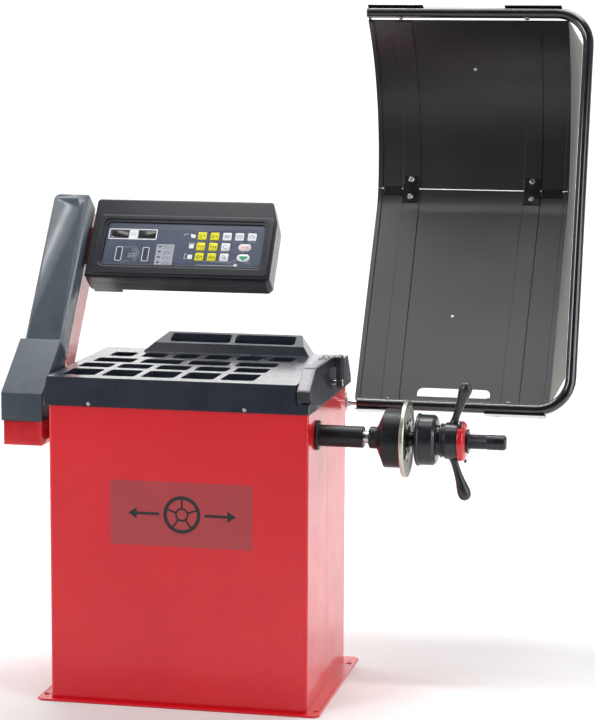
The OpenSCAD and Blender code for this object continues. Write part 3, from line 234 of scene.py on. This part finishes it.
steel = Finish("zinc_plated_steel", (0.50, 0.50, 0.51), 0.28, metal=1.0, tint=0.08,
               patch=60.0, edge=0.05, grain=((500, 0.00004),))
frame_steel = Finish("primed_frame_steel", (0.030, 0.031, 0.034), 0.42, tint=0.15,
                     patch=9.0, edge=0.2, grain=((400, 0.00008),))
motor_grey = Finish("motor_grey_enamel", (0.06, 0.065, 0.075), 0.42, coat=0.3,
                    tint=0.10, patch=14.0, edge=0.2, grain=((350, 0.0001),))
belt = Finish("belt_rubber", (0.012, 0.012, 0.012), 0.7, tint=0.2, patch=50.0,
              grain=((600, 0.0002),))
board = Finish("board_lacquer", (0.02, 0.11, 0.05), 0.35, coat=0.6, tint=0.2,
               patch=80.0, grain=((500, 0.0001),))
ring_red = Finish("release_ring_red", (0.62, 0.008, 0.016), 0.30, coat=0.5, tint=0.05,
                  patch=30.0, edge=0.1, grain=((500, 0.00004),))
film = Finish("overlay_film", (0.050, 0.064, 0.105), 0.34, coat=0.4, coat_rough=0.2,
              tint=0.04, patch=9.0, rough_spread=0.03, grain=((1400, 0.00003),))
window = Finish("smoked_window", (0.022, 0.022, 0.020), 0.10, coat=0.6, tint=0.1,
                patch=30.0, rough_spread=0.03, grain=((300, 0.00002),))
yellow = Finish("key_yellow_film", (0.72, 0.66, 0.004), 0.38, coat=0.3, tint=0.03,
                patch=60.0, grain=((900, 0.00005),))
white = Finish("key_white_film", (0.72, 0.73, 0.76), 0.38, coat=0.3, tint=0.03,
               patch=60.0, grain=((900, 0.00005),))
ink_black = Finish("ink_black", (0.012, 0.012, 0.014), 0.45, tint=0.1, patch=90.0)
ink_white = Finish("ink_white", (0.74, 0.75, 0.77), 0.42, tint=0.04, patch=90.0)
ink_grey = Finish("ink_grey", (0.33, 0.35, 0.40), 0.42, tint=0.06, patch=90.0)
ink_red = Finish("ink_red", (0.62, 0.02, 0.03), 0.42, tint=0.05, patch=90.0)
ink_green = Finish("ink_green", (0.01, 0.27, 0.13), 0.42, tint=0.05, patch=90.0)
ruler_plate = Finish("ruler_anodised", (0.27, 0.25, 0.29), 0.40, metal=0.2, tint=0.10,
                     patch=40.0, smear=8.0, grain=((700, 0.00004),))
label_film = Finish("label_film", (0.40, 0.020, 0.028), 0.42, coat=0.6, coat_rough=0.2,
                    tint=0.04, patch=6.0, grain=((120, 0.0001),))

FINISH = {
    red: "base_plate front_cover rear_cover hood_bearing",
    red_column: "arm_column",
    steel: "panel_screws hood_bolts flange_screws spindle_bearings piezo_sensors "
           "main_spindle centring_spring shaft_pulley encoder_disc motor_pulley "
           "hood_spindle gauge_rod",
    tray_abs: "tray",
    console_abs: "console_front console_back",
    arm_abs: "arm_cover",
    frame_steel: "inner_frame gauge_guides",
    cast_black: "spindle_housing hub",
    shaft_steel: "threaded_shaft",
    disc_steel: "flange_disc",
    nut_black: "pressure_cup nut_body",
    handle_black: "nut_handles gauge_arm release_lever encoder_sensor power_inlet "
                  "power_switch",
    motor_grey: "motor",
    belt: "drive_belt",
    board: "power_board control_board",
    ring_red: "release_ring",
    film: "overlay_panel",
    window: "display_windows",
    black_coat: "hood_frame hood_plates",
    hood_sheet: "hood_shell_upper hood_shell_lower",
    side_grey: "hood_side_panel",
    yellow: "distance_down_key distance_up_key width_down_key width_up_key "
            "diameter_down_key diameter_up_key",
    white: "alloy_mode_key fine_reading_key unbalance_key calibrate_key units_key "
           "stop_key start_key",
}
# Edge rounding in metres, where a node's edges are rounded in its mesh
ROUND = {
    "front_cover": 0.0006, "rear_cover": 0.0006, "base_plate": 0.0012,
    "arm_column": 0.003, "arm_cover": 0.006, "console_front": 0.005,
    "console_back": 0.005, "hub": 0.0015, "spindle_housing": 0.001,
    "pressure_cup": 0.0012, "nut_body": 0.001, "release_ring": 0.002,
    "gauge_arm": 0.0015, "hood_plates": 0.0008, "hood_bolts": 0.0004,
    "panel_screws": 0.0003, "release_lever": 0.0012, "power_inlet": 0.001,
    "power_switch": 0.001, "hood_bearing": 0.0015, "flange_disc": 0.0006,
    "tray": 0.0035, "motor": 0.001, "hood_shell_upper": 0.0008,
    "hood_shell_lower": 0.0008,
}
SMOOTH_ANGLE = math.radians(32)


def dress(node, finish):
    """Finish and rounded, smoothly shaded edges on a CAD node."""
    ob = NODES[node]
    ob.data.materials.clear()
    ob.data.materials.append(finish.mat)
    weld = ob.modifiers.new("weld", "WELD")
    weld.merge_threshold = 1e-5
    if node in ROUND:
        bevel = ob.modifiers.new("round", "BEVEL")
        bevel.width = ROUND[node]
        bevel.segments = 3
        bevel.limit_method = "ANGLE"
        bevel.angle_limit = SMOOTH_ANGLE
        bevel.miter_outer = "MITER_ARC"
        bevel.use_clamp_overlap = True
    for face in ob.data.polygons:
        face.use_smooth = True
    normal = ob.modifiers.new("normals", "WEIGHTED_NORMAL")
    normal.keep_sharp = True
    normal.weight = 80


for finish, names in FINISH.items():
    for name in names.split():
        dress(name, finish)


# ---------------------------------------------------- drawing in thin sheets

class Sheet:
    """Flat printed shapes on a plane. place turns (a, v, height) in mm into a point."""

    def __init__(self, name, finish, place, body, thick=0.12):
        self.name, self.finish, self.place = name, finish, place
        self.body, self.thick, self.bm = body, thick, bmesh.new()

    def prism(self, points):
        low = [self.bm.verts.new(self.place(a, v, 0.0)) for a, v in points]
        top = [self.bm.verts.new(self.place(a, v, self.thick)) for a, v in points]
        self.bm.faces.new(top)
        self.bm.faces.new(list(reversed(low)))
        for k in range(len(points)):
            j = (k + 1) % len(points)
            self.bm.faces.new((low[k], low[j], top[j], top[k]))

    def rect(self, a0, v0, a1, v1):
        self.prism([(a0, v0), (a1, v0), (a1, v1), (a0, v1)])

    def rounded(self, a0, v0, a1, v1, r, steps=5):
        self.prism(rounded_points(a0, v0, a1, v1, r, steps))

    def frame(self, a0, v0, a1, v1, r, line, steps=5):
        outer = rounded_points(a0, v0, a1, v1, r, steps)
        inner = rounded_points(a0 + line, v0 + line, a1 - line, v1 - line,
                               max(r - line, 0.2), steps)
        self.band(outer, inner)

    def band(self, outer, inner):
        for k in range(len(outer)):
            j = (k + 1) % len(outer)
            self.prism([outer[k], outer[j], inner[j], inner[k]])

    def line(self, points, width):
        for (a0, v0), (a1, v1) in zip(points, points[1:]):
            length = math.hypot(a1 - a0, v1 - v0) or 1.0
            da = -(v1 - v0) / length * width / 2
            dv = (a1 - a0) / length * width / 2
            self.prism([(a0 + da, v0 + dv), (a1 + da, v1 + dv),
                        (a1 - da, v1 - dv), (a0 - da, v0 - dv)])

    def ring(self, a, v, ra, rv, line, steps=28):
        self.band([(a + ra * math.cos(t), v + rv * math.sin(t)) for t in turn(steps)],
                  [(a + (ra - line) * math.cos(t), v + (rv - line) * math.sin(t))
                   for t in turn(steps)])

    def arc(self, a, v, r, start, end, width, steps=12):
        self.line([(a + r * math.cos(math.radians(start + (end - start) * k / steps)),
                    v + r * math.sin(math.radians(start + (end - start) * k / steps)))
                   for k in range(steps + 1)], width)

    def done(self):
        mesh = bpy.data.meshes.new(self.name)
        bmesh.ops.recalc_face_normals(self.bm, faces=self.bm.faces)
        self.bm.to_mesh(mesh)
        self.bm.free()
        mesh.materials.append(self.finish.mat)
        ob = bpy.data.objects.new(self.name, mesh)
        bpy.context.scene.collection.objects.link(ob)
        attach(ob, self.body)
        return ob


def turn(steps):
    return [2 * math.pi * k / steps for k in range(steps)]


def rounded_points(a0, v0, a1, v1, r, steps):
    a0, a1 = min(a0, a1), max(a0, a1)
    v0, v1 = min(v0, v1), max(v0, v1)
    corners = ((a1 - r, v1 - r, 0), (a0 + r, v1 - r, 90), (a0 + r, v0 + r, 180),
               (a1 - r, v0 + r, 270))
    return [(ca + r * math.cos(math.radians(q + 90 * k / steps)),
             cv + r * math.sin(math.radians(q + 90 * k / steps)))
            for ca, cv, q in corners for k in range(steps + 1)]


# ------------------------------------------------------------- the overlay

TILT = math.radians(36)
FACE_UP = Vector((0, math.sin(TILT), math.cos(TILT)))
FACE_OUT = Vector((0, -math.cos(TILT), math.sin(TILT)))
LIFT = 0.03          # gap under a print, mm
FILM_H = 121 * MM    # height of the overlay sheet along its face
PRINT_INSET = 1 * MM
KEY_DEPTH = 6.2 * MM


def face_place(origin):
    """Places a shape on the console's face: a mm right of origin, v mm down."""
    def place(a, v, h):
        return origin + Vector((a * MM, 0, 0)) - FACE_UP * (v * MM) \
            + FACE_OUT * ((h + LIFT) * MM)
    return place


def overlay_place():
    """From the sheet's top left. Its lower outer edge has the lowest Y of its box."""
    low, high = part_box("overlay_panel")
    edge = Vector((low.x - PRINT_INSET, low.y, high.z - FILM_H * FACE_UP.z))
    return face_place(edge + FACE_UP * (FILM_H + PRINT_INSET))


def key_place(node):
    """From the centre of a key. Its lower outer edge has the lowest Y of its box."""
    low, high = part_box(node)
    height = ((high.z - low.z) - KEY_DEPTH * FACE_OUT.z) / FACE_UP.z
    edge = Vector(((low.x + high.x) / 2, low.y, high.z - height * FACE_UP.z))
    return face_place(edge + FACE_UP * (height / 2))


on_overlay = overlay_place()


def rims():
    ink = Sheet("overlay_print_white", ink_white, on_overlay, "machine")
    ink.frame(6.5, 18, 133.5, 49, 3.5, 2.6)
    ink.rounded(60.5, 21.5, 83.5, 46.5, 1)
    for a in (32.5, 102.5):
        ink.frame(a, 71, a + 17.5, 112, 3, 1.5)
    # guide symbols left of the keys
    for v, shape in ((34, "distance"), (64, "width"), (95, "diameter")):
        if shape == "distance":
            ink.prism([(221, v - 6), (235, v - 2), (235, v + 7), (224, v + 6)])
            ink.arc(212, v + 4, 9, 200, 300, 1.0)
            continue
        ink.rect(222, v - 5, 234, v + 7)
        if shape == "width":
            ink.line([(222, v - 9), (222, v - 5)], 0.9)
            ink.line([(234, v - 9), (234, v - 5)], 0.9)
            ink.line([(222, v - 8.6), (234, v - 8.6)], 0.9)
        else:
            ink.line([(213, v - 7), (220, v - 7)], 0.9)
            ink.line([(213, v + 7), (220, v + 7)], 0.9)
            ink.line([(214, v - 7), (214, v + 7)], 0.9)
    ink.line([(246, 119), (350, 119)], 0.7)
    ink.prism([(349, 112.5), (355, 118), (349, 120.7), (343, 118)])
    ink.done()


def wheel_diagram():
    grey = Sheet("overlay_print_grey", ink_grey, on_overlay, "machine")
    centre = (76, 92)
    for r, start, end in ((25, -62, 62), (20, -56, 56), (13, -50, 50)):
        grey.arc(centre[0] - 7, centre[1], r, start, end, 0.9)
    grey.line([(52, 70), (64, 73), (76, 68)], 0.9)
    grey.line([(50, 118), (62, 112), (74, 114)], 0.9)
    for k in range(5):
        grey.line([(78 + 4.2 * k, 72 + 2.6 * k), (72 + 4.2 * k, 80 + 2.6 * k)], 0.7)
    for k in range(3):
        grey.rect(66, 90 + 5 * k, 88, 91.6 + 5 * k)
    # plate with the four wheel modes
    grey.rounded(138, 61, 184, 122, 2)
    grey.done()
    mode = Sheet("overlay_print_marks", ink_black, on_overlay, "machine", thick=0.2)
    for k in range(4):
        v = 68 + 15.4 * k
        mode.rounded(143, v - 2.2, 150.5, v + 2.2, 1)
        mode.line([(156, v - 4), (161, v + 4), (167, v - 3), (173, v + 4),
                   (179, v - 4)], 0.8)
        mode.line([(156, v + 5.6), (179, v + 5.6)], 0.5)
    for a in (32.5, 102.5):
        for k in range(5):
            v = 74.5 + 7.2 * k
            mode.rounded(a + 5, v, a + 12.5, v + 4.6, 0.6)
    # caption block between the windows
    for k in range(3):
        mode.line([(64, 30 + 3.4 * k), (80, 30 + 3.4 * k)], 0.5)
    mode.done()


def arrow(sheet, a, v, direction, size=4.5):
    sheet.prism([(a - size / 2, v - direction * size / 2),
                 (a + size / 2, v - direction * size / 2),
                 (a, v + direction * size / 2)])


def key_sheet(node, finish=ink_black):
    return Sheet(f"{node}_print", finish, key_place(node), f"{node}_body")


def key_prints():
    for what in ("distance", "width", "diameter"):
        for way, direction in (("down", 1), ("up", -1)):
            ink = key_sheet(f"{what}_{way}_key")
            if what == "distance":
                ink.line([(-6, -3), (-6, 4), (1, 4)], 0.9)
                ink.line([(-6, 0), (-2, -3), (1, 0)], 0.9)
            elif what == "width":
                ink.line([(-7, -4), (-7, 4)], 0.9)
                ink.line([(1, -4), (1, 4)], 0.9)
                ink.line([(-7, 0), (1, 0)], 0.9)
            else:
                ink.ring(-3, 0, 4, 4, 0.9)
                ink.line([(-7, 4.5), (1, -4.5)], 0.8)
            arrow(ink, 6, 0, direction)
            ink.done()
    for what in ("alloy_mode", "fine_reading", "unbalance", "calibrate", "units"):
        ink = key_sheet(f"{what}_key")
        if what == "alloy_mode":
            for k in range(3):
                ink.line([(-7 + 5 * k, 4), (-4.5 + 5 * k, -4), (-2 + 5 * k, 4)], 0.9)
        elif what == "fine_reading":
            ink.frame(-7, -4, -1, 4, 0.8, 0.9)
            ink.frame(1, -4, 7, 4, 0.8, 0.9)
        elif what == "unbalance":
            ink.arc(0, 0, 6, 120, 400, 0.9)
            ink.line([(-2, 0), (5, 0)], 0.9)
        elif what == "calibrate":
            ink.arc(0, 0, 5.5, 50, 310, 1.1)
        else:
            ink.ring(-2, -1, 4, 4, 0.9)
            ink.line([(0, 3), (5, 3), (5, 6)], 0.9)
        ink.done()


def oval_prints():
    red_ink = key_sheet("stop_key", ink_red)
    red_ink.ring(0, 0, 15.2, 9.0, 0.8, steps=40)
    for k in range(4):
        red_ink.frame(-9.4 + 4.9 * k, -2.7, -5.6 + 4.9 * k, 2.7, 1.0, 0.9)
    red_ink.done()
    green = key_sheet("start_key", ink_green)
    green.prism([(-10, -4.5), (10, -4.5), (11, -1), (0, 8.2), (-11, -1)])
    green.done()


rims()
wheel_diagram()
key_prints()
oval_prints()


# ---------------------------------------------------- ruler on the gauge arm

# The arm's top face, as (y, z): down its sloped nose, and from the bend to the back
NOSE_LOW, NOSE_HIGH = (-0.241, 0.7875), (-0.1745, 0.8303)
FLAT_FRONT, FLAT_BACK = (-0.1685, 0.8312), (0.060, 0.8284)


def ruler():
    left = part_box("gauge_arm")[0].x + 2 * MM
    width = 27

    def flat(a, v, h):
        """a mm across, v mm along to the back, from the bend."""
        (y0, z0), (y1, z1) = FLAT_FRONT, FLAT_BACK
        t = v * MM / (y1 - y0)
        return Vector((left + a * MM, y0 + v * MM, z0 + (z1 - z0) * t + h * MM))

    def sloped(a, v, h):
        """a mm across, v mm up the nose."""
        (y0, z0), (y1, z1) = NOSE_LOW, NOSE_HIGH
        length = math.hypot(y1 - y0, z1 - z0)
        t = v * MM / length
        n = Vector((0, -(z1 - z0), y1 - y0)) / length
        return Vector((left + a * MM, y0 + (y1 - y0) * t, z0 + (z1 - z0) * t)) \
            + n * (h * MM)

    plate = Sheet("gauge_ruler_front", ruler_plate, sloped, "gauge", thick=0.8)
    plate.rounded(0, 1.5, width, 78, 1.5)
    plate.done()
    plate = Sheet("gauge_ruler_back", ruler_plate, flat, "gauge", thick=0.8)
    plate.rounded(0, 2, width, 150, 1.5)
    plate.done()
    for name, place, count in (("front", sloped, 38), ("back", flat, 73)):
        marks = Sheet(f"gauge_marks_{name}", ink_black,
                      lambda a, v, h, p=place: p(a, v, h + 0.82), "gauge", thick=0.06)
        for k in range(2, count):
            long = 9 if k % 10 == 0 else 6.5 if k % 5 == 0 else 4
            marks.rect(width - 1 - long, 2 * k, width - 1, 2 * k + 0.45)
        marks.done()


def gauge_fittings():
    """Bright bolts with washers near the arm's rear."""
    bm = bmesh.new()

    def bolt(x, y, z, r, h):
        head = bmesh.ops.create_cone(bm, cap_ends=True, segments=6, radius1=r,
                                     radius2=r * 0.92, depth=h)
        bmesh.ops.translate(bm, verts=head["verts"], vec=(x, y, z + h / 2))
        washer = bmesh.ops.create_cone(bm, cap_ends=True, segments=28,
                                       radius1=r * 1.45, radius2=r * 1.4,
                                       depth=0.0012)
        bmesh.ops.translate(bm, verts=washer["verts"], vec=(x, y, z + 0.0006))

    for y in (-0.004, 0.030):
        for x in (0.301, 0.317):
            bolt(x, y, 0.8296, 0.0045, 0.0045)
    for y in (0.058, 0.080):
        bolt(0.3345, y, 0.8274, 0.0040, 0.0042)
    mesh = bpy.data.meshes.new("gauge_bolts")
    bm.to_mesh(mesh)
    bm.free()
    mesh.materials.append(steel.mat)
    ob = bpy.data.objects.new("gauge_bolts", mesh)
    bpy.context.scene.collection.objects.link(ob)
    round_off = ob.modifiers.new("round", "BEVEL")
    round_off.width = 0.0005
    round_off.segments = 2
    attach(ob, "gauge")


ruler()
gauge_fittings()


# ------------------------------------------------------------ front label

SIGN_X, SIGN_Z = 12, 476


def front_label():
    """A plain film label with a generic wheel sign, on the front cover."""
    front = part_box("front_cover")[0].y

    def on_front(a, v, h):
        return Vector((a * MM, front - (h + LIFT) * MM, v * MM))

    film_sheet = Sheet("front_label", label_film, on_front, "machine", thick=0.15)
    film_sheet.rounded(-166, 397, 186, 555, 4)
    film_sheet.done()

    def over(a, v, h):
        """From the sign's centre, on top of the film."""
        return on_front(SIGN_X + a, SIGN_Z + v, h + 0.16)

    sign = Sheet("front_label_sign", ink_black, over, "machine", thick=0.05)
    sign.ring(0, 0, 46, 46, 9, steps=56)
    sign.ring(0, 0, 17, 17, 5, steps=40)
    for k in range(5):
        t = math.radians(90 + 72 * k)
        sign.line([(r * math.cos(t), r * math.sin(t)) for r in (16, 38)], 5)
    for side in (-1, 1):
        sign.line([(side * 56, 0), (side * 112, 0)], 7)
        sign.prism([(side * 112, -14), (side * 134, 0), (side * 112, 14)])
    sign.done()


front_label()


# -------------------------------------------------- stage, light and camera

def studio_paper():
    """Pale paper that can be seen through from behind."""
    finish = Finish("studio_paper", (0.86, 0.86, 0.86), 0.7, tint=0.01, patch=2.0,
                    rough_spread=0.03, specular=0.2)
    nodes = finish.nt.nodes
    clear = nodes.new("ShaderNodeBsdfTransparent")
    sided = nodes.new("ShaderNodeMixShader")
    finish.link(nodes.new("ShaderNodeNewGeometry").outputs["Backfacing"],
                sided.inputs["Fac"])
    finish.link(finish.bsdf.outputs["BSDF"], sided.inputs[1])
    finish.link(clear.outputs["BSDF"], sided.inputs[2])
    out = [n for n in nodes if n.type == "OUTPUT_MATERIAL"][0]
    finish.link(sided.outputs["Shader"], out.inputs["Surface"])
    return finish.mat


def make_stage():
    """A pale floor that bends up into a wall behind the object."""
    bm = bmesh.new()
    half, front, wall_y, wall_top, bend = 30.0, -40.0, 3.2, 5.0, 1.6
    steps, under = 16, 0.0005
    foot = wall_y - bend
    profile = [(front, 0.0), (foot, 0.0)]
    for k in range(1, steps + 1):
        t = math.pi / 2 * k / steps
        profile.append((foot + bend * math.sin(t), bend - bend * math.cos(t)))
    profile.append((wall_y, wall_top))
    rows = [[bm.verts.new((x, y, z - under)) for y, z in profile]
            for x in (-half, half)]
    for k in range(len(profile) - 1):
        bm.faces.new((rows[0][k], rows[1][k], rows[1][k + 1], rows[0][k + 1]))
    # the floor goes on behind the wall, for views from the back
    bm.faces.new([bm.verts.new((x, y, -4 * under)) for x, y in (
        (-half, foot), (half, foot), (half, half), (-half, half))])
    mesh = bpy.data.meshes.new("studio_floor")
    bm.to_mesh(mesh)
    bm.free()
    for face in mesh.polygons:
        face.use_smooth = True
    mesh.materials.append(studio_paper())
    floor = bpy.data.objects.new("studio_floor", mesh)
    bpy.context.scene.collection.objects.link(floor)


MIDDLE = (0.1, 0.0, 0.8)
# Each soft light: name, place, aim, width and height in metres, watts
SOFTBOXES = (
    ("key_box", (-2.6, -3.2, 2.9), MIDDLE, (1.8, 2.6), 92),
    ("right_box", (3.4, -1.6, 1.9), MIDDLE, (1.2, 2.6), 34),
    ("right_strip", (3.6, -0.45, 0.9), (0.3, -0.2, 0.8), (0.35, 2.6), 22),
    ("left_strip", (-3.2, -0.6, 0.9), (-0.3, -0.2, 0.8), (0.35, 2.6), 22),
    ("top_box", (0.2, 0.9, 3.4), MIDDLE, (3.4, 1.2), 34),
    ("wall_box", (0.2, 1.2, 4.4), (0.2, 3.2, 1.6), (4.5, 0.6), 140),
    ("floor_box", (0.3, -0.6, 4.2), (0.3, -0.6, 0.0), (3.0, 0.9), 26),
)


def softbox(name, place, aim, size, power):
    light = bpy.data.lights.new(name, "AREA")
    light.shape = "RECTANGLE"
    light.size, light.size_y = size
    light.energy = power
    ob = bpy.data.objects.new(name, light)
    ob.location = place
    ob.rotation_euler = (Vector(aim) - Vector(place)).to_track_quat("-Z", "Y") \
        .to_euler()
    bpy.context.scene.collection.objects.link(ob)


def light_scene():
    world = bpy.data.worlds.new("studio")
    world.use_nodes = True
    tree = world.node_tree
    back = tree.nodes["Background"]
    socket(back, "Strength", 1.0)
    # bright all round and above, dark behind the photographer
    tex = tree.nodes.new("ShaderNodeTexCoord")
    split = tree.nodes.new("ShaderNodeSeparateXYZ")
    tree.links.new(tex.outputs["Generated"], split.inputs["Vector"])
    fade = tree.nodes.new("ShaderNodeMapRange")
    for name, value in (("From Min", -0.55), ("From Max", 0.35), ("To Min", 0.05),
                        ("To Max", 0.55)):
        socket(fade, name, value)
    tree.links.new(split.outputs["Y"], fade.inputs["Value"])
    tint = tree.nodes.new("ShaderNodeMix")
    tint.data_type = "RGBA"
    dark, bright = [t for t in tint.inputs if t.type == "RGBA"]
    dark.default_value = (0.0, 0.0, 0.0, 1.0)
    bright.default_value = (0.96, 0.98, 1.0, 1.0)
    tree.links.new(fade.outputs["Result"], tint.inputs["Factor"])
    tree.links.new([t for t in tint.outputs if t.type == "RGBA"][0],
                   back.inputs["Color"])
    bpy.context.scene.world = world
    for box in SOFTBOXES:
        softbox(*box)
    scene = bpy.context.scene
    scene.view_settings.view_transform = "Standard"
    scene.view_settings.look = "None"


CAMERA_PLACE = (1.4216, -5.6214, 1.6682)
CAMERA_TURN = (11.84, -8.35, 0.27)  # yaw, pitch and roll in degrees
CAMERA_LENS = 118.3


def make_camera():
    """The photographer's place: in front, a little to the right, just above."""
    yaw, pitch, roll = (math.radians(a) for a in CAMERA_TURN)
    forward = Vector((-math.sin(yaw) * math.cos(pitch),
                      math.cos(yaw) * math.cos(pitch), math.sin(pitch)))
    right = Vector((math.cos(yaw), math.sin(yaw), 0))
    up = right.cross(forward)
    side = right * math.cos(roll) + up * math.sin(roll)
    top = up * math.cos(roll) - right * math.sin(roll)
    turn_to = Matrix((side, top, -forward)).transposed().to_4x4()
    camera = bpy.data.cameras.new("camera")
    camera.lens = CAMERA_LENS
    camera.sensor_width = 36
    camera.sensor_fit = "AUTO"
    camera.clip_end = 60
    ob = bpy.data.objects.new("camera", camera)
    ob.matrix_world = Matrix.Translation(CAMERA_PLACE) @ turn_to
    bpy.context.scene.collection.objects.link(ob)
    bpy.context.scene.camera = ob


make_stage()
light_scene()
make_camera()
